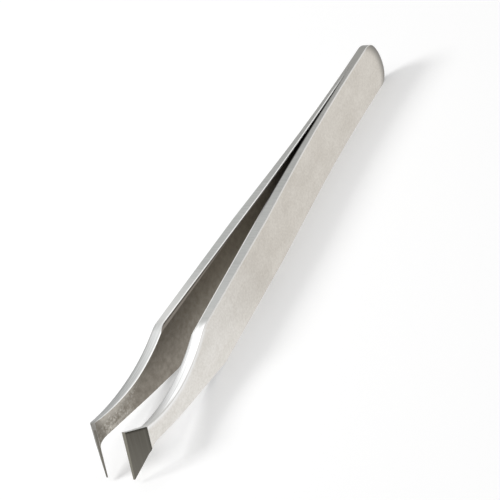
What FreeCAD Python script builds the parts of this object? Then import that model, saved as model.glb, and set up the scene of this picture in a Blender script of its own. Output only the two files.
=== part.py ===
import FreeCAD, Part
import math
import operator
import os
import types

import Sketcher

# Cutting tweezers in stainless steel. Two mirror-image arms are spot-welded face to face at the
# rounded rear end and bow apart towards the front. Each arm swells to a thick belly, narrows at a
# shoulder to a slim neck, and ends in a jaw that turns inward to an oblique cutting edge.
# X runs from the rear end to the jaws, Y across the gap, Z over the width of the arms.
# The tweezers lie on the lower edges of both arms. The origin is under the middle of their box.

doc = FreeCAD.newDocument("CuttingTweezers")

# Driving sizes, in millimetres and degrees. Places over the width of an arm count from mid-width.
SIZES = [
    ("length_total", 115.0, "rear end to the tip of the blades"),
    ("arm_width", 9.6, "width of the straight part of an arm"),
    ("weld_length", 8.0, "length over which the arms are joined"),
    ("rear_thick", 0.97, "thickness of one arm at the rear end"),
    ("swell_start", 5.0, "rear end to where the outer face leaves the weld"),
    ("swell_end", 41.0, "rear end to where the outer face becomes straight"),
    ("bow_end", 49.8, "rear end to where the inner face becomes straight"),
    ("belly_start", 56.0, "rear end to where the arm has its full thickness"),
    ("belly_thick", 2.35, "thickness of the belly"),
    ("neck_back", 19.0, "tip back to where the inner face opens out again"),
    ("neck_gap", 4.01, "inner face to the middle plane at the neck"),
    ("root_lead", 0.25, "how far behind the blade's root the jaw turns inward"),
    ("root_gap", 5.28, "inner face to the middle plane at the jaw"),
    ("root_thick", 1.07, "thickness of the arm where the jaw starts"),
    ("end_radius", 8.0, "radius of the rear end"),
    ("corner_radius", 3.6, "radius that joins the rear end to the sides"),
    ("shoulder_back", 29.8, "tip back to where the upper side starts to drop"),
    ("lower_shoulder_back", 30.7, "tip back to where the lower side starts to rise"),
    ("shoulder_round", 6.0, "radius that rounds both shoulders"),
    ("neck_radius", 35.0, "hollow of the upper side of the neck"),
    ("edge_rise", 4.9, "upper end of the cutting edge over mid-width"),
    ("tip_drop", 3.77, "lower end of the cutting edge under mid-width"),
    ("edge_run", 3.13, "how far the lower end of the edge leads"),
    ("edge_gap", 2.82, "cutting edge to the middle plane"),
    ("blade_root_back", 4.75, "tip back to where the neck and the blade's back meet"),
    ("blade_root_z", 0.27, "height of that corner over mid-width"),
    ("blade_fillet", 3.5, "hollow between the neck and the blade's back"),
    ("flush_top", 0.74, "width of the flush face at its upper end"),
    ("flush_tip", 0.39, "width of the flush face at the tip"),
    ("bevel_angle", 44.3, "slope of the front bevel from the length axis"),
    ("back_angle", 40.0, "slope of the back of the jaw"),
    ("jaw_fillet", 1.6, "hollow between the inner face and the jaw"),
    ("hollow_inset", 0.03, "how deep that hollow starts inside the inner face"),
    ("relief_run", 37.2, "how far behind the shoulder the relief of the inner edges starts"),
    ("relief", 0.5, "width of that relief at the shoulder"),
    ("crown_width", 1.4, "width of the crown of the outer face at the rear end"),
    ("crown_drop", 0.3, "how much the crown falls off at the rear end"),
    ("edge_break", 0.12, "chamfer of the long edges"),
    ("tool_reach", 12.0, "how far the cutting bodies reach past the arm"),
]
sheet = doc.addObject("Spreadsheet::Sheet", "Sizes")
for row, (alias, value, meaning) in enumerate(SIZES, start=1):
    sheet.set("A%d" % row, meaning)
    sheet.set("B%d" % row, str(value))
    sheet.setAlias("B%d" % row, alias)
doc.recompute()


def operation(sign, work):
    """How two formulas, or a formula and a number, are joined by a sign."""
    def joined(self, other):
        other = other if isinstance(other, Formula) else Formula(str(other), other)
        return Formula("(%s %s %s)" % (self.text, sign, other.text), work(self.value, other.value))
    return joined


class Formula:
    """A formula of the sheet's sizes, as text to bind with and as the value that it has now."""

    def __init__(self, text, value):
        self.text, self.value = text, value

    __add__ = operation("+", operator.add)
    __sub__ = operation("-", operator.sub)
    __mul__ = operation("*", operator.mul)
    __truediv__ = operation("/", operator.truediv)
    __pow__ = operation("^", operator.pow)

    def __neg__(self):
        return Formula("(-%s)" % self.text, -self.value)


def root(formula):
    return Formula("sqrt(%s)" % formula.text, math.sqrt(formula.value))


def cosine(formula):
    return Formula("cos(%s)" % formula.text, math.cos(math.radians(formula.value)))


def sine(formula):
    return Formula("sin(%s)" % formula.text, math.sin(math.radians(formula.value)))


size = types.SimpleNamespace(**{alias: Formula("Sizes." + alias, value) for alias, value, _ in SIZES})
zero = Formula("0", 0)
one = Formula("1", 1)


def bind(item, path, formula):
    item.setExpression(path, formula.text)


def point(pair):
    """The place in a sketch that a pair of formulas has now."""
    return FreeCAD.Vector(pair[0].value, pair[1].value, 0)


# How a sketch is turned: seen from above, along Y, or from the jaws
FROM_ABOVE = FreeCAD.Rotation()
ALONG_Y = FreeCAD.Rotation(FreeCAD.Vector(1, 0, 0), FreeCAD.Vector(0, 0, 1), FreeCAD.Vector(0, -1, 0))
FROM_JAWS = FreeCAD.Rotation(FreeCAD.Vector(0, 1, 0), FreeCAD.Vector(0, 0, 1), FreeCAD.Vector(1, 0, 0))


def new_sketch(name, turn=FROM_ABOVE, along=zero):
    """A sketch with its origin at mid-width, at a distance along the arm from the rear end."""
    sketch = doc.addObject("Sketcher::SketchObject", name)
    sketch.Placement = FreeCAD.Placement(FreeCAD.Vector(), turn)
    bind(sketch, "Placement.Base.x", along - size.length_total / 2)
    bind(sketch, "Placement.Base.z", size.arm_width / 2)
    return sketch


# Numbers that a sketch gives to the start, end and centre of a run, and to its own origin
START, END, CENTRE = 1, 2, 3
ORIGIN = (-1, 1)


def rule(sketch, formula, *constraint):
    """Adds a constraint whose value is a formula."""
    index = sketch.addConstraint(Sketcher.Constraint(*constraint))
    bind(sketch, "Constraints[%d]" % index, formula)


def pin(sketch, run, end, pair):
    """Holds one end of a run at a pair of formulas; None leaves that direction free."""
    for kind, formula in zip(("DistanceX", "DistanceY"), pair):
        if formula is not None:
            rule(sketch, formula, kind, *ORIGIN, run, end, formula.value)


class Loop:
    """A closed outline in a sketch: lines and arcs drawn one after the other."""

    def __init__(self, sketch, start):
        self.sketch, self.at, self.runs = sketch, start, []

    def line(self, to):
        self.runs.append((self.sketch.addGeometry(Part.LineSegment(self.at, to)), START, END))
        self.at = to

    def arc(self, through, to):
        run = self.sketch.addGeometry(Part.Arc(self.at, through, to))
        first, last = (self.sketch.getPoint(run, end).distanceToPoint(self.at) for end in (START, END))
        self.runs.append((run, START, END) if first < last else (run, END, START))
        self.at = to

    def close(self, smooth=()):
        """Joins each run to the next. Joints in smooth, by the number of the run before, are tangent."""
        for index, (run, _, end) in enumerate(self.runs):
            after, start, _ = self.runs[(index + 1) % len(self.runs)]
            kind = "Tangent" if index in smooth else "Coincident"
            self.sketch.addConstraint(Sketcher.Constraint(kind, run, end, after, start))

    def pin_start(self, index, pair):
        run, start, _ = self.runs[index]
        pin(self.sketch, run, start, pair)

    def radius(self, index, formula):
        run = self.runs[index][0]
        rule(self.sketch, formula, "Radius", run, formula.value)


def polygon(sketch, corners):
    """A closed outline of straight lines through pinned corners."""
    loop = Loop(sketch, point(corners[0]))
    for pair in corners[1:] + corners[:1]:
        loop.line(point(pair))
    loop.close()
    for index, pair in enumerate(corners):
        loop.pin_start(index, pair)


def beside_middle(a, b, bulge):
    """A point beside the middle of two others, for an arc that bulges to the left by that much."""
    along = (b - a).normalize()
    return (a + b) / 2 + FreeCAD.Vector(-along.y, along.x, 0) * bulge


def shallow_sag(length, turn):
    """How far a shallow arc bulges from its chord, for its length and the change of slope over it."""
    return length.value * turn.value / 8


def fillet_points(corner, along_first, along_second, radius):
    """Start, middle and end of the arc that fills a corner between two straight runs from it."""
    bisector = (along_first + along_second).normalize()
    half_sine = bisector.cross(along_first).Length
    to_centre = radius / half_sine
    reach = to_centre * bisector.dot(along_first)
    middle = corner + bisector * (to_centre - radius)
    return corner + along_first * reach, middle, corner + along_second * reach


def extruded(sketch, name, forward, backward, direction):
    """A sketch swept along a direction, forward and backward."""
    solid = doc.addObject("Part::Extrusion", name)
    solid.Base = sketch
    solid.DirMode = "Custom"
    for axis, formula in zip("xyz", direction):
        bind(solid, "Dir." + axis, formula)
    bind(solid, "LengthFwd", forward)
    bind(solid, "LengthRev", backward)
    solid.Solid = True
    return solid


def combined(kind, name, base, tool):
    result = doc.addObject(kind, name)
    result.Base, result.Tool = base, tool
    return result


def mirrored(name, source, normal):
    result = doc.addObject("Part::Mirroring", name)
    result.Source, result.Normal = source, normal
    return result


# Places and slopes that several outlines share: the inner face from the bow to the neck and from there
# to the jaw, and the cutting edge, which leans forward as it goes down
neck_x = size.length_total - size.neck_back
root_back = size.blade_root_back + size.root_lead
root_x = size.length_total - root_back
shoulder_x = size.length_total - size.shoulder_back
bow_middle = (size.bow_end + size.weld_length) / 2
inner_slope = size.neck_gap / (neck_x - bow_middle)
root_slope = (size.root_gap - size.neck_gap) / (size.neck_back - root_back)
edge_height = size.edge_rise + size.tip_drop
edge_share = size.tip_drop / edge_height
edge_x = size.length_total - size.edge_run * edge_share
flush_loss = size.flush_top - size.flush_tip
side_z = size.arm_width / 2


def inner_gap(along):
    """The inner face's distance from the middle plane between the bow and the neck."""
    return inner_slope * (along - bow_middle)


# Profile of the arm, seen from above: flat at the weld, bowed, thick at the belly, thin at the jaw
def arm_profile():
    sketch = new_sketch("ArmProfile")
    front_gap = size.root_gap + root_slope * root_back
    belly_out = inner_gap(size.belly_start) + size.belly_thick
    swell_middle = (size.swell_start + size.swell_end) / 2
    swell_slope = (belly_out - size.rear_thick) / (size.belly_start - swell_middle)
    rear_in = (zero, zero)
    slit = (size.weld_length, zero)
    bow_end = (size.bow_end, inner_gap(size.bow_end))
    neck_in = (neck_x, size.neck_gap)
    front_in = (size.length_total, front_gap)
    front_out = (size.length_total, front_gap + size.root_thick / 2)
    root_out = (root_x, size.root_gap + size.root_thick)
    neck_out = (neck_x, size.neck_gap + size.belly_thick)
    belly = (size.belly_start, belly_out)
    swell_end = (size.swell_end, belly_out - swell_slope * (size.belly_start - size.swell_end))
    swell_start = (size.swell_start, size.rear_thick)
    rear_out = (zero, size.rear_thick)

    loop = Loop(sketch, point(rear_in))
    loop.line(point(slit))
    bow_sag = shallow_sag(size.bow_end - size.weld_length, inner_slope)
    loop.arc(beside_middle(point(slit), point(bow_end), -bow_sag), point(bow_end))
    for pair in (neck_in, front_in, front_out, root_out):
        loop.line(point(pair))
    root_sag = shallow_sag(size.neck_back - root_back, inner_slope + inner_slope)
    loop.arc(beside_middle(point(root_out), point(neck_out), -root_sag), point(neck_out))
    loop.line(point(belly))
    loop.line(point(swell_end))
    swell_sag = shallow_sag(size.swell_end - size.swell_start, swell_slope)
    loop.arc(beside_middle(point(swell_end), point(swell_start), swell_sag), point(swell_start))
    loop.line(point(rear_out))
    loop.line(point(rear_in))
    loop.close(smooth=(0, 1, 5, 6, 8, 9))
    pins = (rear_in, slit, (bow_end[0], None), neck_in, front_in, (front_out[0], None), root_out, neck_out,
            belly, (swell_end[0], None), swell_start, rear_out)
    for index, pair in enumerate(pins):
        loop.pin_start(index, pair)
    return sketch


# Outline of the arm, seen along Y: round rear end, straight sides, ground neck and flared blade
def arm_outline():
    sketch = new_sketch("ArmOutline", ALONG_Y)
    inner_reach = size.end_radius - size.corner_radius
    corner_z = side_z - size.corner_radius
    corner_x = size.end_radius - root(inner_reach ** 2 - corner_z ** 2)
    end_share = size.end_radius / inner_reach
    end_x = size.end_radius - (size.end_radius - corner_x) * end_share
    end_z = corner_z * end_share
    shoulder = (shoulder_x, side_z)
    edge_up = (size.length_total - size.edge_run, size.edge_rise)
    tip = (size.length_total, -size.tip_drop)
    blade_root = (size.length_total - size.blade_root_back, size.blade_root_z)
    lower_shoulder = (size.length_total - size.lower_shoulder_back, -side_z)
    side_up, side_down = (corner_x, side_z), (corner_x, -side_z)
    end_up, end_down = (end_x, end_z), (end_x, -end_z)

    diagonal = FreeCAD.Vector(-1, 1, 0).normalize() * size.corner_radius.value
    across = FreeCAD.Vector(diagonal.x, -diagonal.y, 0)
    rearward = FreeCAD.Vector(-1, 0, 0)
    chord = point(edge_up) - point(shoulder)
    half_turn = math.asin(chord.Length / 2 / size.neck_radius.value)
    neck_sag = size.neck_radius.value * (1 - math.cos(half_turn))
    lean = FreeCAD.Rotation(FreeCAD.Vector(0, 0, -1), math.degrees(half_turn))
    along_hollow = lean.multVec(chord).normalize()
    along_back = (point(tip) - point(blade_root)).normalize()
    along_neck = (point(lower_shoulder) - point(blade_root)).normalize()
    upper_round = fillet_points(point(shoulder), rearward, along_hollow, size.shoulder_round.value)
    blade_hollow = fillet_points(point(blade_root), along_back, along_neck, size.blade_fillet.value)
    lower_round = fillet_points(point(lower_shoulder), -along_neck, rearward, size.shoulder_round.value)

    loop = Loop(sketch, point(end_down))
    loop.arc(FreeCAD.Vector(), point(end_up))
    loop.arc(point((corner_x, corner_z)) + diagonal, point(side_up))
    loop.line(upper_round[0])
    loop.arc(upper_round[1], upper_round[2])
    loop.arc(beside_middle(point(shoulder), point(edge_up), -neck_sag), point(edge_up))
    loop.line(point(tip))
    for start, middle, end in (blade_hollow, lower_round):
        loop.line(start)
        loop.arc(middle, end)
    loop.line(point(side_down))
    loop.arc(point((corner_x, -corner_z)) + across, point(end_down))
    (end_arc, upper_corner, upper_side, upper_shoulder, hollow, edge, back, blade_arc, neck_under,
     lower_shoulder_arc, lower_side, lower_corner) = range(len(loop.runs))
    loop.close(smooth=(end_arc, upper_corner, upper_side, upper_shoulder, back, blade_arc, neck_under,
                       lower_shoulder_arc, lower_side, lower_corner))
    for index, pair in ((upper_side, (None, side_z)), (edge, edge_up), (back, tip),
                        (lower_corner, (None, -side_z))):
        loop.pin_start(index, pair)
    for pair, before, after in ((shoulder, upper_side, hollow), (blade_root, back, neck_under),
                                (lower_shoulder, neck_under, lower_side)):
        corner = sketch.addGeometry(Part.Point(point(pair)), True)
        pin(sketch, corner, START, pair)
        for index in (before, after):
            sketch.addConstraint(Sketcher.Constraint("PointOnObject", corner, START, loop.runs[index][0]))
    for index, radius in ((end_arc, size.end_radius), (upper_corner, size.corner_radius),
                          (upper_shoulder, size.shoulder_round), (hollow, size.neck_radius),
                          (blade_arc, size.blade_fillet), (lower_shoulder_arc, size.shoulder_round),
                          (lower_corner, size.corner_radius)):
        loop.radius(index, radius)
    pin(sketch, loop.runs[end_arc][0], CENTRE, (size.end_radius, zero))
    return sketch


# Section of the jaw at mid-width: flush face in front, sloping back, hollow against the inner face.
# Its outer corners lie inside the thickness of the arm, so that both join.
def jaw_section():
    sketch = new_sketch("JawSection")
    inside_reach, inside_depth = 1.5, 0.9
    edge = (edge_x, size.edge_gap)
    flush_out = (edge_x, size.edge_gap + size.flush_top + size.flush_top)
    inside_front = (root_x + size.root_thick * inside_reach, size.root_gap + size.root_thick * inside_depth)
    inside_rear = (root_x - size.jaw_fillet, size.root_gap + size.root_thick / 2)
    face_start = (neck_x, size.neck_gap + size.hollow_inset)
    face_end = (root_x, size.root_gap + size.hollow_inset)
    along_face = (point(face_start) - point(face_end)).normalize()
    along_back = point((cosine(size.back_angle), -sine(size.back_angle)))
    reach = (point(edge) - point(face_end)).cross(along_face).z / along_back.cross(along_face).z
    corner = point(edge) - along_back * reach
    fillet = fillet_points(corner, along_face, along_back, size.jaw_fillet.value)

    loop = Loop(sketch, point(edge))
    for pair in (flush_out, inside_front, inside_rear):
        loop.line(point(pair))
    loop.line(fillet[0])
    loop.arc(fillet[1], fillet[2])
    loop.line(point(edge))
    loop.close(smooth=(4,))
    for index, pair in enumerate((edge, flush_out, inside_front, inside_rear)):
        loop.pin_start(index, pair)
    arc, arc_start, _ = loop.runs[4]
    face = sketch.addGeometry(Part.LineSegment(point(face_start), fillet[0]), True)
    pin(sketch, face, START, face_start)
    face_mark = sketch.addGeometry(Part.Point(point(face_end)), True)
    pin(sketch, face_mark, START, face_end)
    sketch.addConstraint(Sketcher.Constraint("PointOnObject", face_mark, START, face))
    sketch.addConstraint(Sketcher.Constraint("Tangent", face, END, arc, arc_start))
    loop.radius(4, size.jaw_fillet)
    rule(sketch, -size.back_angle, "Angle", loop.runs[5][0], -math.radians(size.back_angle.value))
    return sketch


# Region in front of the bevel at mid-width
def bevel_section():
    sketch = new_sketch("BevelSection")
    low_y = size.edge_gap + size.flush_tip + flush_loss * edge_share
    high_y = low_y + size.tool_reach * sine(size.bevel_angle)
    far_x = edge_x + size.tool_reach
    high = (edge_x - size.tool_reach * cosine(size.bevel_angle), high_y)
    polygon(sketch, [(edge_x, low_y), high, (far_x, high_y), (far_x, low_y)])
    return sketch


# Corner that the relief takes off the upper inner edge, at the place where it starts
def relief_section():
    relief_x = shoulder_x - size.relief_run
    sketch = new_sketch("ReliefSection", FROM_JAWS, relief_x)
    low_y, high_y = inner_gap(relief_x) - size.belly_thick, inner_gap(relief_x) + size.belly_thick
    low_z, high_z = side_z - size.belly_thick, side_z + size.belly_thick
    polygon(sketch, [(low_y, low_z), (high_y, high_z), (low_y, high_z)])
    return sketch


# Section of what the crown takes off behind the end's centre: an arc that leaves the outer face
def crown_section():
    sketch = new_sketch("CrownSection")
    drop_radius = (size.crown_width ** 2 / size.crown_drop + size.crown_drop) / 2
    arc_centre = (size.crown_width, size.rear_thick - drop_radius)
    face_end = (size.crown_width, size.rear_thick)
    arc_end = (-size.crown_drop, size.rear_thick - drop_radius + root(
        drop_radius ** 2 - (size.crown_width + size.crown_drop) ** 2))
    outside = (-size.crown_drop, size.rear_thick + size.crown_drop)
    above = (size.crown_width, outside[1])

    loop = Loop(sketch, point(face_end))
    loop.line(point(above))
    loop.line(point(outside))
    loop.line(point(arc_end))
    half_chord = (point(face_end) - point(arc_end)).Length / 2
    sag = drop_radius.value - math.sqrt(drop_radius.value ** 2 - half_chord ** 2)
    loop.arc(beside_middle(point(arc_end), point(face_end), sag), point(face_end))
    loop.close()
    for index, pair in enumerate((face_end, above, outside, (-size.crown_drop, None))):
        loop.pin_start(index, pair)
    pin(sketch, loop.runs[3][0], CENTRE, arc_centre)
    return sketch


# The arm on the +Y side: blank and jaw stock joined, cut to the outline, then ground
blank = extruded(arm_profile(), "ArmBlank", size.tool_reach, size.tool_reach, (zero, zero, one))
jaw = extruded(jaw_section(), "JawBlank", size.tool_reach, size.tool_reach,
               (size.edge_run, zero, -edge_height))
stock = combined("Part::Fuse", "ArmStock", blank, jaw)
outline = extruded(arm_outline(), "OutlineBlock", size.tool_reach, size.tool_reach, (zero, one, zero))
shaped = combined("Part::Common", "ShapedArm", stock, outline)
front = extruded(bevel_section(), "FrontRegion", size.tool_reach, size.tool_reach,
                 (size.edge_run, -flush_loss, -edge_height))
bevelled = combined("Part::Cut", "BevelledArm", shaped, front)

# Relief of the inner edges, from nothing near the belly to its full width at the shoulder
relief_way = (size.relief_run, inner_slope * size.relief_run + size.relief / 2, -size.relief / 2)
upper_relief = extruded(relief_section(), "UpperRelief", size.relief_run + size.belly_thick,
                        size.belly_thick, relief_way)
lower_relief = mirrored("LowerRelief", upper_relief, FreeCAD.Vector(0, 0, 1))
bind(lower_relief, "Base.z", size.arm_width / 2)
half_relieved = combined("Part::Cut", "HalfRelievedArm", bevelled, upper_relief)
relieved = combined("Part::Cut", "RelievedArm", half_relieved, lower_relief)

# Outer face crowned down towards the rear end
crown = doc.addObject("Part::Revolution", "EndCrown")
crown.Source = crown_section()
crown.Axis = FreeCAD.Vector(0, 1, 0)
bind(crown, "Base.x", size.end_radius - size.length_total / 2)
bind(crown, "Base.z", size.arm_width / 2)
crown.Angle = 180
crown.Symmetric = True
crown.Solid = True
crowned = combined("Part::Cut", "CrownedArm", relieved, crown)
doc.recompute()

# Widest angle, in degrees, between the Y axis and the way that the broad outer face looks, and the
# widest between a side and that axis
OUTER_ANGLE = 18
SIDE_ANGLE = 6


def facing(face):
    """The angle that a face looks outward at its middle, in degrees over the middle plane."""
    u_low, u_high, v_low, v_high = face.ParameterRange
    return math.degrees(math.asin(face.normalAt((u_low + u_high) / 2, (v_low + v_high) / 2).y))


def outer_edges(shape):
    """Numbers and boxes of the edges between a side and the broad outer face."""
    found = []
    for index, edge in enumerate(shape.Edges, start=1):
        angles = [facing(face) for face in shape.ancestorsOfType(edge, Part.Face)]
        if max(angles) > 90 - OUTER_ANGLE and min(map(abs, angles)) < SIDE_ANGLE:
            found.append((index, edge.BoundBox))
    return found


# Long outer edges chamfered as far as the blade, which stays sharp. The inner edges stay sharp too,
# because they run into the weld, where both arms are ground flush.
blade_limit = (root_x - size.blade_fillet - size.length_total / 2).value
broken = [index for index, box in outer_edges(crowned.Shape) if box.XMin < blade_limit]
right_arm = doc.addObject("Part::Chamfer", "RightArm")
right_arm.Base = crowned
right_arm.Edges = [(index, size.edge_break.value, size.edge_break.value) for index in broken]
left_arm = mirrored("LeftArm", right_arm, FreeCAD.Vector(0, 1, 0))
right_arm.Label = "right_arm"
left_arm.Label = "left_arm"
doc.recompute()

for item in doc.Objects:
    if "Invalid" in item.State or "Error" in item.State:
        raise RuntimeError("%s failed: %s" % (item.Label, item.State))

os.makedirs("parts", exist_ok=True)
for arm in (right_arm, left_arm):
    if arm.Shape.isNull() or not arm.Shape.isValid() or len(arm.Shape.Solids) != 1:
        raise RuntimeError("%s has no sound solid" % arm.Label)
    arm.Shape.exportStep("parts/%s.step" % arm.Label)
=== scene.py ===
import bmesh
import bpy
from math import radians
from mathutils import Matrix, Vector


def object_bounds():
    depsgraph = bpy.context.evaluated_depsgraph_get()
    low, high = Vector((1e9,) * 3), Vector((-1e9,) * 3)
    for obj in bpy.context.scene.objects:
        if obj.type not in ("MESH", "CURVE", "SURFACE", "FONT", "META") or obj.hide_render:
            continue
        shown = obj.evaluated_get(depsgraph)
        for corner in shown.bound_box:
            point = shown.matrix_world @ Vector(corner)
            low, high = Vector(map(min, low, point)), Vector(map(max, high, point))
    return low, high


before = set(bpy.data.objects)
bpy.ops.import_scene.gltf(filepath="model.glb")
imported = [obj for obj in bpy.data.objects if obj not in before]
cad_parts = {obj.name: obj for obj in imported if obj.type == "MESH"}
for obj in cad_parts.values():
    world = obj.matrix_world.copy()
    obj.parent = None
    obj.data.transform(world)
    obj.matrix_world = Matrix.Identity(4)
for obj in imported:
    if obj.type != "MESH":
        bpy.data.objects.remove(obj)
cad_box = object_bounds()

# The two arms of the tweezers, each one strip of hardened stainless steel with its jaw turned inward.
# They are spot-welded face to face at the rounded rear end, then satined on the broad faces, ground
# across the narrow sides and polished by hand at the necks. The solids from the CAD have this shape.
MILLIMETRE = 0.001


def finish_colour(hex_value):
    """The colour of a finish, written as an sRGB hex value, in the linear form that shaders take."""
    channels = [int(hex_value[place:place + 2], 16) / 255 for place in (0, 2, 4)]
    return tuple(c / 12.92 if c <= 0.04045 else ((c + 0.055) / 1.055) ** 2.4 for c in channels) + (1.0,)


def add_node(tree, kind, inputs, **settings):
    """Adds a node with its settings. An input is a value, an output, or a node with its first output."""
    node = tree.nodes.new(kind)
    for name, value in settings.items():
        setattr(node, name, value)
    for key, value in inputs.items():
        if isinstance(value, bpy.types.Node):
            value = next(output for output in value.outputs if output.enabled)
        if isinstance(value, bpy.types.NodeSocket):
            tree.links.new(value, node.inputs[key])
        else:
            node.inputs[key].default_value = value
    return node


# Martensitic stainless steel, satined with fine abrasive: a warm light grey with a faint cloud and
# grain. Its narrow sides are ground and cooler, its inner faces are a brown-grey painted darker as shade
# between the arms, and the cutting bevels are ground fine and painted darkest as a dark reflection.
# Further painted highlights and painted shade are named where they are added.
steel = bpy.data.materials.new("satined_stainless_steel")
steel.use_nodes = True
tree = steel.node_tree
tree.nodes.clear()
place = add_node(tree, "ShaderNodeTexCoord", {})
millimetres = add_node(tree, "ShaderNodeVectorMath", {0: place.outputs["Object"], "Scale": 1 / MILLIMETRE},
                       operation="SCALE")
spot = add_node(tree, "ShaderNodeSeparateXYZ", {0: millimetres})
look = add_node(tree, "ShaderNodeSeparateXYZ", {0: place.outputs["Normal"]})

# How far along an arm a place is, in millimetres from the rear end, which comes from the CAD's box
REAR_END = cad_box[0].x / MILLIMETRE
along = add_node(tree, "ShaderNodeMath", {0: spot.outputs["X"], 1: REAR_END}, operation="SUBTRACT")

# Which arm a place is on, and how far its face looks away from the other arm, up or down, or aslant
right_arm = add_node(tree, "ShaderNodeMath", {0: spot.outputs["Y"], 1: 0.0}, operation="GREATER_THAN")
arm_sign = add_node(tree, "ShaderNodeMath", {0: spot.outputs["Y"]}, operation="SIGN")
outward = add_node(tree, "ShaderNodeMath", {0: look.outputs["Y"], 1: arm_sign}, operation="MULTIPLY")
upright = add_node(tree, "ShaderNodeMath", {0: look.outputs["Z"]}, operation="ABSOLUTE")
both_ways = add_node(tree, "ShaderNodeMath", {0: look.outputs["Y"], 1: look.outputs["Z"]},
                     operation="MULTIPLY")
slant = add_node(tree, "ShaderNodeMath", {0: both_ways}, operation="ABSOLUTE")

# The inner and outer faces lie this far from the middle of the tweezers, in millimetres, where the bow
# ends and at the shoulder, the neck and the root of the jaw. Distances are taken from both faces.
BOW_START, BOW_END, SHOULDER, NECK, JAW_ROOT = 8.0, 49.8, 85.2, 96.0, 110.0
BOW_GAP, NECK_GAP, ROOT_GAP = 1.25, 4.01, 5.28
SHOULDER_OUTSIDE, NECK_OUTSIDE = 5.72, 6.36
across = add_node(tree, "ShaderNodeMath", {0: spot.outputs["Y"]}, operation="ABSOLUTE")
along_bow = add_node(tree, "ShaderNodeMapRange", {"Value": along, "From Min": BOW_START,
                                                  "From Max": BOW_END})
bow_share = add_node(tree, "ShaderNodeMath", {0: along_bow, 1: 2.0}, operation="POWER")
front_gap = add_node(tree, "ShaderNodeMapRange", {"Value": along, "From Min": BOW_END,
                                                  "From Max": NECK, "To Max": NECK_GAP - BOW_GAP})
rear_gap = add_node(tree, "ShaderNodeMath", {0: bow_share, 1: BOW_GAP, 2: front_gap},
                    operation="MULTIPLY_ADD")
root_gap = add_node(tree, "ShaderNodeMapRange", {"Value": along, "From Min": NECK,
                                                 "From Max": JAW_ROOT, "To Max": ROOT_GAP - NECK_GAP})
inner_gap = add_node(tree, "ShaderNodeMath", {0: rear_gap, 1: root_gap}, operation="ADD")
outside = add_node(tree, "ShaderNodeMapRange", {"Value": along, "From Min": SHOULDER,
                                                "From Max": NECK, "To Min": SHOULDER_OUTSIDE,
                                                "To Max": NECK_OUTSIDE})
to_inner = add_node(tree, "ShaderNodeMath", {0: across, 1: inner_gap}, operation="SUBTRACT")
to_outer = add_node(tree, "ShaderNodeMath", {0: outside, 1: across}, operation="SUBTRACT")

# How far a place lies under the hollow upper side of a neck, and past the relief of the inner edge,
# which widens from its start to the shoulder
HOLLOW_PLACE, HOLLOW_HEIGHT, HOLLOW_RADIUS = 98.53, 42.0, 35.0
RELIEF_START, RELIEF_WIDTH = 48.0, 0.5
hollow_centre = (REAR_END + HOLLOW_PLACE, 0.0, HOLLOW_HEIGHT)
from_hollow = add_node(tree, "ShaderNodeVectorMath", {0: millimetres, 1: hollow_centre},
                       operation="SUBTRACT")
flat_from_hollow = add_node(tree, "ShaderNodeVectorMath", {0: from_hollow, 1: (1, 0, 1)},
                            operation="MULTIPLY")
hollow_reach = add_node(tree, "ShaderNodeVectorMath", {0: flat_from_hollow}, operation="LENGTH")
under_top = add_node(tree, "ShaderNodeMath", {0: hollow_reach.outputs["Value"], 1: HOLLOW_RADIUS},
                     operation="SUBTRACT")
relief_width = add_node(tree, "ShaderNodeMapRange", {"Value": along, "From Min": RELIEF_START,
                                                     "From Max": SHOULDER, "To Max": RELIEF_WIDTH})
past_relief = add_node(tree, "ShaderNodeMath", {0: to_inner, 1: relief_width}, operation="SUBTRACT")

# How far a place is from the centre of the rear end's round, and above or below the arm's middle line
ARM_HEIGHT, ROUND_PLACE = 9.6, 8.0
MIDDLE_HEIGHT = ARM_HEIGHT / 2
round_centre = (REAR_END + ROUND_PLACE, 0.0, MIDDLE_HEIGHT)
from_centre = add_node(tree, "ShaderNodeVectorMath", {0: millimetres, 1: round_centre},
                       operation="SUBTRACT")
flat_from_centre = add_node(tree, "ShaderNodeVectorMath", {0: from_centre, 1: (1, 0, 1)},
                            operation="MULTIPLY")
end_radius = add_node(tree, "ShaderNodeVectorMath", {0: flat_from_centre}, operation="LENGTH")
from_middle = add_node(tree, "ShaderNodeMath", {0: spot.outputs["Z"], 1: MIDDLE_HEIGHT},
                       operation="SUBTRACT")
over_middle = add_node(tree, "ShaderNodeMath", {0: from_middle}, operation="ABSOLUTE")

# Marks of the tools, by their size in millimetres along the arm, across it and upward: the cloud of
# hand polishing, the satin's grain, the mottle of the inner faces, and grinding lines across the sides and
# the bevel. Real grain and lines are finer than 0.1 mm, and are drawn coarser here so that they show.
CLOUD_SIZE, LINE_SIZE, SCRATCH_SIZE = (6.0, 5.0, 3.0), (0.28, 3.3, 4.0), (10.0, 0.25, 10.0)
GRAIN_SIZE, MOTTLE_SIZE = 0.45, 1.1
GRAIN_IN_CLOUD, GRAIN_IN_SPECKLE = 0.55, 0.75
cloud_place = add_node(tree, "ShaderNodeVectorMath", {0: millimetres, 1: CLOUD_SIZE}, operation="DIVIDE")
cloud = add_node(tree, "ShaderNodeTexNoise", {"Vector": cloud_place, "Scale": 1.0, "Detail": 3.0})
grain = add_node(tree, "ShaderNodeTexNoise", {"Vector": millimetres, "Scale": 1 / GRAIN_SIZE,
                                              "Detail": 3.0, "Roughness": 0.6})
line_place = add_node(tree, "ShaderNodeVectorMath", {0: millimetres, 1: LINE_SIZE}, operation="DIVIDE")
lines = add_node(tree, "ShaderNodeTexNoise", {"Vector": line_place, "Scale": 1.0, "Detail": 3.0})
mottle = add_node(tree, "ShaderNodeTexNoise", {"Vector": millimetres, "Scale": 1 / MOTTLE_SIZE,
                                               "Detail": 4.0, "Roughness": 0.65})
scratch_place = add_node(tree, "ShaderNodeVectorMath", {0: millimetres, 1: SCRATCH_SIZE},
                         operation="DIVIDE")
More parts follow.
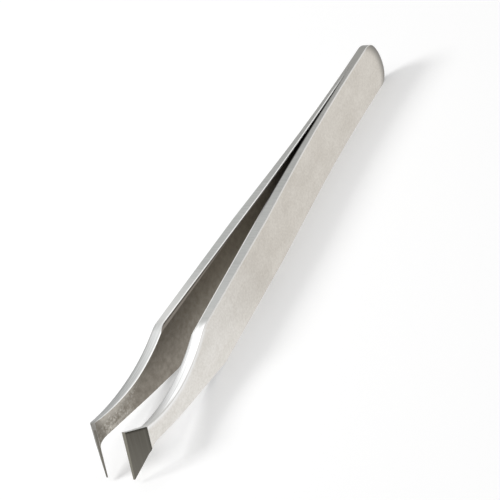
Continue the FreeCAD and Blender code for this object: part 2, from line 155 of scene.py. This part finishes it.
scratches = add_node(tree, "ShaderNodeTexNoise", {"Vector": scratch_place, "Scale": 1.0, "Detail": 3.0})
cloud_grain = add_node(tree, "ShaderNodeMix", {"Factor": GRAIN_IN_CLOUD, 2: cloud, 3: grain},
                       data_type="FLOAT")
speckle = add_node(tree, "ShaderNodeMix", {"Factor": GRAIN_IN_SPECKLE, 2: mottle, 3: grain},
                   data_type="FLOAT")

# Polishing strokes on the necks' upper sides: thin across an arm, and long as the hollow rises
STROKE_WIDTH, STROKE_RISE = 0.22, 2.5
stroke_across = add_node(tree, "ShaderNodeMath", {0: to_inner, 1: STROKE_WIDTH}, operation="DIVIDE")
stroke_up = add_node(tree, "ShaderNodeMath", {0: spot.outputs["Z"], 1: STROKE_RISE}, operation="DIVIDE")
stroke_place = add_node(tree, "ShaderNodeCombineXYZ", {"X": stroke_across, "Y": stroke_up})
strokes = add_node(tree, "ShaderNodeTexNoise", {"Vector": stroke_place, "Scale": 1.0, "Detail": 3.0})

# Ragged borders, moved up to these many millimetres by the marks: where the skin is scraped before the
# jaw, where it is rubbed under the neck's upper edge, and beside the relief
SCRAPED_RAGGED, RUBBED_RAGGED, RELIEF_RAGGED = 14.0, 5.0, 0.5
ragged_start = add_node(tree, "ShaderNodeMath", {0: mottle, 1: SCRAPED_RAGGED, 2: along},
                        operation="MULTIPLY_ADD")
ragged_depth = add_node(tree, "ShaderNodeMath", {0: speckle, 1: RUBBED_RAGGED, 2: under_top},
                        operation="MULTIPLY_ADD")
ragged_margin = add_node(tree, "ShaderNodeMath", {0: grain, 1: RELIEF_RAGGED, 2: over_middle},
                         operation="MULTIPLY_ADD")

# How much of each look a place has: from none at the first value to the given share at the second. It
# comes in evenly or, where it is soft, in an S-curve. Places and distances are in millimetres.
EVEN, SOFT = "LINEAR", "SMOOTHSTEP"
# The painted highlight at the shoulders, in full on the left arm and by a share on the right one
LEFT_SHOULDER_HIGHLIGHT, RIGHT_SHOULDER_HIGHLIGHT = 1.0, 0.3
shoulder_highlight_share = add_node(tree, "ShaderNodeMix", {"Factor": right_arm, 2: LEFT_SHOULDER_HIGHLIGHT,
                                                  3: RIGHT_SHOULDER_HIGHLIGHT}, data_type="FLOAT")
share = {}
for name, value, none_at, full_at, full_share, way in (
        # The way a face looks
        ("inward", outward, -0.75, -0.9, 1.0, SOFT),
        ("sideways", upright, 0.75, 0.9, 1.0, SOFT),
        ("slanting", slant, 0.3, 0.45, 1.0, SOFT),
        ("forward", look.outputs["X"], 0.45, 0.6, 1.0, SOFT),
        ("flush", look.outputs["X"], 0.8, 0.9, 1.0, SOFT),
        # Places along the arms, from the rear end to the jaws
        ("rear_end", along, 7.0, 4.0, 1.0, SOFT),
        ("past_weld", along, 11.5, 18.5, 1.0, EVEN),
        # painted shade on the narrow sides towards the rear
        ("rear_shade", along, 57.5, 7.5, 0.6, EVEN),
        # painted shade in the slit between the arms
        ("slit_shade", along, 49.5, 30.5, 1.0, SOFT),
        ("along_relief", along, 43.5, 55.5, 1.0, EVEN),
        ("before_relief", along, 59.5, 49.5, 1.0, EVEN),
        ("to_front", along, 62.5, 84.5, 1.0, EVEN),
        ("to_neck", along, 63.5, 83.5, 1.0, EVEN),
        ("shoulder_highlight", along, 67.5, 81.5, shoulder_highlight_share, EVEN),
        ("before_neck", along, 86.5, 83.5, 1.0, EVEN),
        ("after_shoulder", along, 82.9, 85.9, 1.0, SOFT),
        ("front_neck", along, 94.5, 100.5, 1.0, SOFT),
        # painted shade on the right neck before the jaw
        ("root_shade", along, 100.0, 105.5, 0.7, EVEN),
        ("scraped", ragged_start, 103.5, 115.5, 0.75, SOFT),
        # painted shade in the corner of the jaw
        ("jaw_corner_shade", along, 107.5, 109.0, 0.7, EVEN),
        ("at_jaw", along, 108.0, 110.0, 1.0, EVEN),
        ("before_jaw", along, 111.0, 109.5, 1.0, SOFT),
        # Margins beside edges
        ("crown_ring", end_radius.outputs["Value"], 5.2, 7.9, 1.0, SOFT),
        # a painted highlight along the outer faces' upper edge
        ("outer_edge_highlight", spot.outputs["Z"], 9.25, 9.45, 0.75, EVEN),
        ("neck_top", under_top, 1.1, 0.0, 0.9, SOFT),
        # the painted highlight on the left neck's inner edge
        ("neck_edge_highlight", to_inner, 0.32, 0.12, 0.8, EVEN),
        ("near_gap", past_relief, 0.32, 0.14, 1.0, EVEN),
        ("near_side", over_middle, 4.52, 4.68, 1.0, EVEN),
        ("relief_line", over_middle, 4.58, 4.68, 0.8, EVEN),
        ("beside_relief", ragged_margin, 4.3, 4.8, 0.8, SOFT),
        ("rubbed_top", ragged_depth, 3.6, 2.8, 0.5, SOFT),
        ("down_bevel", spot.outputs["Z"], 9.5, 2.5, 1.0, EVEN),
        ("bevel_top", under_top, 0.5, 0.15, 0.75, EVEN),
        ("bevel_side", across, 5.95, 6.25, 0.4, EVEN),
        ("inner_round", to_inner, 0.7, 0.0, 1.0, EVEN),
        ("outer_round", to_outer, 0.8, 0.0, 1.0, EVEN),
        # Marks of the tools
        ("cloud", cloud_grain, 0.36, 0.64, 1.0, EVEN),
        ("lines", lines, 0.3, 0.7, 1.0, EVEN),
        ("strokes", strokes, 0.35, 0.65, 1.0, EVEN),
        ("mottle", mottle, 0.3, 0.7, 1.0, EVEN),
        ("speckle", speckle, 0.4, 0.62, 1.0, EVEN),
        ("scratches", scratches, 0.4, 0.75, 0.2, EVEN)):
    share[name] = add_node(tree, "ShaderNodeMapRange", {"Value": value, "From Min": none_at,
                                                        "From Max": full_at, "To Max": full_share},
                           interpolation_type=way)

# Looks that need two of these at once: the necks, the crown's painted shade, and the lines along the
# edges, with painted highlights and painted shade among them. A slanting face that looks further inward
# than this is the relief.
INNER_SLANT = -0.5
on_neck = add_node(tree, "ShaderNodeMath", {0: share["after_shoulder"], 1: share["before_jaw"]},
                   operation="MULTIPLY")
# Painted shade on the crown of the rear end
painted_crown_shade = add_node(tree, "ShaderNodeMath", {0: share["crown_ring"], 1: share["rear_end"]},
                   operation="MULTIPLY")
# A painted highlight under the necks' upper edge and along the outer faces' upper edge
neck_top_highlight = add_node(tree, "ShaderNodeMath", {0: share["neck_top"], 1: on_neck}, operation="MULTIPLY")
outer_highlight = add_node(tree, "ShaderNodeMath", {0: neck_top_highlight, 1: share["outer_edge_highlight"]},
                        operation="MAXIMUM")
bow_stretch = add_node(tree, "ShaderNodeMath", {0: share["past_weld"], 1: share["before_neck"]},
                       operation="MULTIPLY")
bow_edge = add_node(tree, "ShaderNodeMath", {0: share["near_gap"], 1: bow_stretch}, operation="MULTIPLY")
# Where the line along the gap is painted shade: the right arm before the relief
shaded = add_node(tree, "ShaderNodeMath", {0: right_arm, 1: share["before_relief"]}, operation="MULTIPLY")
bow_only = add_node(tree, "ShaderNodeMath", {0: share["past_weld"], 1: share["before_relief"]},
                    operation="MULTIPLY")
left_bow = add_node(tree, "ShaderNodeMix", {"Factor": right_arm, 2: bow_only, 3: 0.0}, data_type="FLOAT")
# A painted highlight along the left arm's upper inner edge, on the bow
inner_edge_highlight = add_node(tree, "ShaderNodeMath", {0: share["near_side"], 1: left_bow}, operation="MULTIPLY")
rubbed = add_node(tree, "ShaderNodeMath", {0: share["rubbed_top"], 1: share["front_neck"]},
                  operation="MULTIPLY")
relief_stretch = add_node(tree, "ShaderNodeMath", {0: share["along_relief"], 1: share["before_neck"]},
                          operation="MULTIPLY")
relief_margin = add_node(tree, "ShaderNodeMath", {0: share["beside_relief"], 1: relief_stretch},
                         operation="MULTIPLY")
inner_relief = add_node(tree, "ShaderNodeMath", {0: outward, 1: INNER_SLANT}, operation="LESS_THAN")
bevel_border = add_node(tree, "ShaderNodeMath", {0: share["bevel_top"], 1: share["bevel_side"]},
                        operation="MAXIMUM")

# The finishes. Each goes from one colour to another by its marks, by its place, or from the left arm to
# the right one, where the difference between the arms is painted light and shade.
finish = {}
for name, mark, first, second in (("outer", share["cloud"], "CBC5BC", "DDD8D0"),
                                  ("outer_neck", share["cloud"], "DEDAD3", "EFECE7"),
                                  ("side", share["lines"], "B2B3B1", "BFC0BE"),
                                  # a painted highlight along the gap on the left arm, and painted shade
                                  # along it on the right arm
                                  ("gap_edge_highlight_and_shade", shaded, "F4F4F2", "2E2B28"),
                                  ("left_neck", share["strokes"], "B2B3B2", "C6C7C6"),
                                  # the right neck, painted lighter than the left one as a highlight
                                  ("right_neck_painted_light", share["strokes"], "DCDDDC", "FAFAFA"),
                                  # the tops of the jaws: painted lighter on the right arm as lit, and
                                  # darker on the left as shaded
                                  ("jaw_top_lit_and_shaded", right_arm, "8F8C86", "E0E0DE"),
                                  # the inner faces: a mottled brown-grey, painted darker than the outer
                                  # faces as shade between the arms, and darker still towards the front
                                  ("inner", share["mottle"], "9D968B", "B6B0A5"),
                                  ("inner_front", share["mottle"], "867F75", "9E988E"),
                                  ("scraped", share["speckle"], "918B80", "DEDAD2"),
                                  ("relief", share["relief_line"], "8F8880", "4C4741"),
                                  # the bevels, painted dark as a dark reflection, lighter towards the
                                  # bottom
                                  ("bevel", share["down_bevel"], "605D56", "726F68"),
                                  # the flush faces of the jaws, painted darker as shade, the left arm's
                                  # darker than the right one's
                                  ("flush", right_arm, "7B7870", "8C897F")):
    finish[name] = add_node(tree, "ShaderNodeMix", {"Factor": mark, 6: finish_colour(first),
                                                    7: finish_colour(second)}, data_type="RGBA")

# The broad outer faces, lighter at the necks, with a painted highlight along their upper edge and painted
# shade on the crown. Each finish covers the ones before it by its share, here and below.
outer = finish["outer"]
for cover, colour in ((share["to_neck"], finish["outer_neck"]),
                      (outer_highlight, finish_colour("FFFFFF")),
                      (painted_crown_shade, finish_colour("7C7974"))):
    outer = add_node(tree, "ShaderNodeMix", {"Factor": cover, 6: outer, 7: colour}, data_type="RGBA")

# The necks' upper sides, polished along: the left one has a painted highlight on its inner edge, and the
# right one is painted lighter as a highlight, with painted shade before the jaw
left_neck = add_node(tree, "ShaderNodeMix", {"Factor": share["neck_edge_highlight"], 6: finish["left_neck"],
                                             7: finish_colour("F4F4F2")}, data_type="RGBA")
right_neck_painted_light = add_node(tree, "ShaderNodeMix", {"Factor": share["root_shade"], 6: finish["right_neck_painted_light"],
                                              7: finish_colour("BFBEBB")}, data_type="RGBA")
neck = add_node(tree, "ShaderNodeMix", {"Factor": right_arm, 6: left_neck, 7: right_neck_painted_light},
                data_type="RGBA")

# The narrow sides, ground across: painted shade towards the rear, a painted highlight at the shoulders,
# and a painted line along the gap, a highlight on the left arm and shade on the right one, then the necks
# and the tops of the jaws, painted lighter on the right arm as lit and darker on the left as shaded
side = finish["side"]
for cover, colour in ((share["rear_shade"], finish_colour("8E8B86")),
                      (share["shoulder_highlight"], finish_colour("D9D9D7")),
                      (bow_edge, finish["gap_edge_highlight_and_shade"]),
                      (on_neck, neck),
                      (share["at_jaw"], finish["jaw_top_lit_and_shaded"])):
    side = add_node(tree, "ShaderNodeMix", {"Factor": cover, 6: side, 7: colour}, data_type="RGBA")

# The dull inner faces, darker towards the front, scraped and rubbed before the jaws, worn beside the
# relief, with painted shade in the corner of the jaw and in the slit, and a painted highlight at the left
# arm's upper edge
inner = finish["inner"]
for cover, colour in ((share["to_front"], finish["inner_front"]),
                      (share["scraped"], finish["scraped"]),
                      (rubbed, finish_colour("E2DDD5")),
                      (relief_margin, finish_colour("A8A096")),
                      (share["jaw_corner_shade"], finish_colour("78736A")),
                      (share["slit_shade"], finish_colour("322D27")),
                      (inner_edge_highlight, finish_colour("FAFAF8"))):
    inner = add_node(tree, "ShaderNodeMix", {"Factor": cover, 6: inner, 7: colour}, data_type="RGBA")

# The front bevels, painted dark as a dark reflection and lighter towards the bottom, with their grinding
# lines and a dark line along their upper and outer borders, and the slanting edges: a painted highlight on
# the chamfer outside and the duller relief inside
bevel = finish["bevel"]
for cover, colour in ((share["scratches"], finish_colour("8A877E")),
                      (bevel_border, finish_colour("3B3935"))):
    bevel = add_node(tree, "ShaderNodeMix", {"Factor": cover, 6: bevel, 7: colour}, data_type="RGBA")
# A painted highlight on the outer chamfers, and the relief's own colour on the inner slanting faces
chamfer_highlight_and_relief = add_node(tree, "ShaderNodeMix", {"Factor": inner_relief, 6: finish_colour("E8E6E2"),
                                        7: finish["relief"]}, data_type="RGBA")

# Each face takes its finish by the way it looks
steel_colour = outer
for cover, colour in ((share["sideways"], side),
                      (share["inward"], inner),
                      (share["slanting"], chamfer_highlight_and_relief),
                      (share["forward"], bevel),
                      (share["flush"], finish["flush"])):
    steel_colour = add_node(tree, "ShaderNodeMix", {"Factor": cover, 6: steel_colour, 7: colour},
                            data_type="RGBA")

# Hand polishing leaves the satin uneven, and the inner faces are the dullest
SMOOTHEST, ROUGHEST, INNER_ROUGHNESS = 0.32, 0.44, 0.1
satin = add_node(tree, "ShaderNodeMapRange", {"Value": cloud, "To Min": SMOOTHEST, "To Max": ROUGHEST})
roughness = add_node(tree, "ShaderNodeMath", {0: share["inward"], 1: INNER_ROUGHNESS, 2: satin},
                     operation="MULTIPLY_ADD")

# Relief in millimetres: the grain and the grinding lines, and the long edges rubbed round, fully on the
# necks and by a share of that along the bow
MARK_DEPTH, ROUNDING_DEPTH, BOW_ROUNDING = 0.006, 0.16, 0.3
inner_round = add_node(tree, "ShaderNodeMath", {0: share["inner_round"], 1: 2.0}, operation="POWER")
outer_round = add_node(tree, "ShaderNodeMath", {0: share["outer_round"], 1: 2.0}, operation="POWER")
both_rounds = add_node(tree, "ShaderNodeMath", {0: inner_round, 1: outer_round}, operation="ADD")
neck_sides = add_node(tree, "ShaderNodeMath", {0: on_neck, 1: share["sideways"]}, operation="MULTIPLY")
neck_rounds = add_node(tree, "ShaderNodeMath", {0: both_rounds, 1: neck_sides}, operation="MULTIPLY")
all_rounds = add_node(tree, "ShaderNodeMath", {0: bow_edge, 1: BOW_ROUNDING, 2: neck_rounds},
                      operation="MULTIPLY_ADD")
marks = add_node(tree, "ShaderNodeMix", {"Factor": share["sideways"], 2: grain, 3: lines},
                 data_type="FLOAT")
fine_marks = add_node(tree, "ShaderNodeMath", {0: marks, 1: MARK_DEPTH}, operation="MULTIPLY")
height = add_node(tree, "ShaderNodeMath", {0: all_rounds, 1: -ROUNDING_DEPTH, 2: fine_marks},
                  operation="MULTIPLY_ADD")
bump = add_node(tree, "ShaderNodeBump", {"Height": height, "Distance": MILLIMETRE, "Strength": 1.0})
shader = add_node(tree, "ShaderNodeBsdfPrincipled", {"Base Color": steel_colour, "Metallic": 1.0,
                                                     "Roughness": roughness, "Normal": bump})
add_node(tree, "ShaderNodeOutputMaterial", {"Surface": shader})

for name in ("right_arm", "left_arm"):
    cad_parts[name].material_slots[0].material = steel

# The floor, a wide sheet of white paper that the tweezers lie on. It keeps their soft shadow, is a
# little lifted towards white for the camera, and polished steel sees it as plain white.
FLOOR_REACH, CAMERA_LIFT, WHITE_IN_STEEL = 4.0, 0.26, 0.97
floor_mesh = bpy.data.meshes.new("floor")
floor_shape = bmesh.new()
bmesh.ops.create_grid(floor_shape, x_segments=1, y_segments=1, size=FLOOR_REACH)
floor_shape.to_mesh(floor_mesh)
floor_shape.free()
floor = bpy.data.objects.new("floor", floor_mesh)
bpy.context.scene.collection.objects.link(floor)
paper = bpy.data.materials.new("white_paper")
paper.use_nodes = True
tree = paper.node_tree
tree.nodes.clear()
ray = add_node(tree, "ShaderNodeLightPath", {})
matt = add_node(tree, "ShaderNodeBsdfDiffuse", {"Color": finish_colour("EAEAEA")})
lift = add_node(tree, "ShaderNodeMath", {0: ray.outputs["Is Camera Ray"], 1: CAMERA_LIFT},
                operation="MULTIPLY")
glow = add_node(tree, "ShaderNodeEmission", {"Strength": lift})
lit = add_node(tree, "ShaderNodeAddShader", {0: matt, 1: glow})
mirrored = add_node(tree, "ShaderNodeEmission", {"Strength": WHITE_IN_STEEL})
seen = add_node(tree, "ShaderNodeMixShader", {0: ray.outputs["Is Glossy Ray"], 1: lit, 2: mirrored})
add_node(tree, "ShaderNodeOutputMaterial", {"Surface": seen})
floor_mesh.materials.append(paper)

# The studio's surround: white to the camera, a paler grey in the steel, and an even fill on the floor
FILL_LEVEL, STEEL_LEVEL = 0.28, 0.7
studio = bpy.data.worlds.new("studio")
bpy.context.scene.world = studio
studio.use_nodes = True
tree = studio.node_tree
tree.nodes.clear()
ray = add_node(tree, "ShaderNodeLightPath", {})
in_steel = add_node(tree, "ShaderNodeMapRange", {"Value": ray.outputs["Is Glossy Ray"],
                                                 "To Min": FILL_LEVEL, "To Max": STEEL_LEVEL})
level = add_node(tree, "ShaderNodeMath", {0: in_steel, 1: ray.outputs["Is Camera Ray"]},
                 operation="MAXIMUM")
surround = add_node(tree, "ShaderNodeBackground", {"Color": finish_colour("FFFFFF"), "Strength": level})
add_node(tree, "ShaderNodeOutputWorld", {"Surface": surround})

# Two softboxes: a wide one overhead, and a smaller key light above and to the left of the tweezers
for name, towards, distance, width, power in (("overhead", (-0.05, -0.1, 0.99), 0.9, 1.4, 4.6),
                                              ("key_light", (0.4, -0.65, 0.65), 0.8, 0.3, 3.2)):
    lamp_data = bpy.data.lights.new(name, "AREA")
    lamp_data.shape = "SQUARE"
    lamp_data.size = width
    lamp_data.energy = power
    lamp = bpy.data.objects.new(name, lamp_data)
    direction = Vector(towards).normalized()
    lamp.location = direction * distance
    lamp.rotation_euler = direction.to_track_quat("Z", "Y").to_euler()
    bpy.context.scene.collection.objects.link(lamp)

# The camera stands in front of the jaws, to the right and above, turned as in the photograph
camera_data = bpy.data.cameras.new("camera")
camera_data.sensor_width = 36
camera_data.lens = 172.66
camera_data.clip_start = 0.01
camera = bpy.data.objects.new("camera", camera_data)
camera.location = (0.274576, 0.261037, 0.254837)
camera.rotation_euler = (radians(53.409), radians(22.215), radians(118.071))
bpy.context.scene.collection.objects.link(camera)
bpy.context.scene.camera = camera

bpy.context.scene.view_settings.view_transform = "Standard"
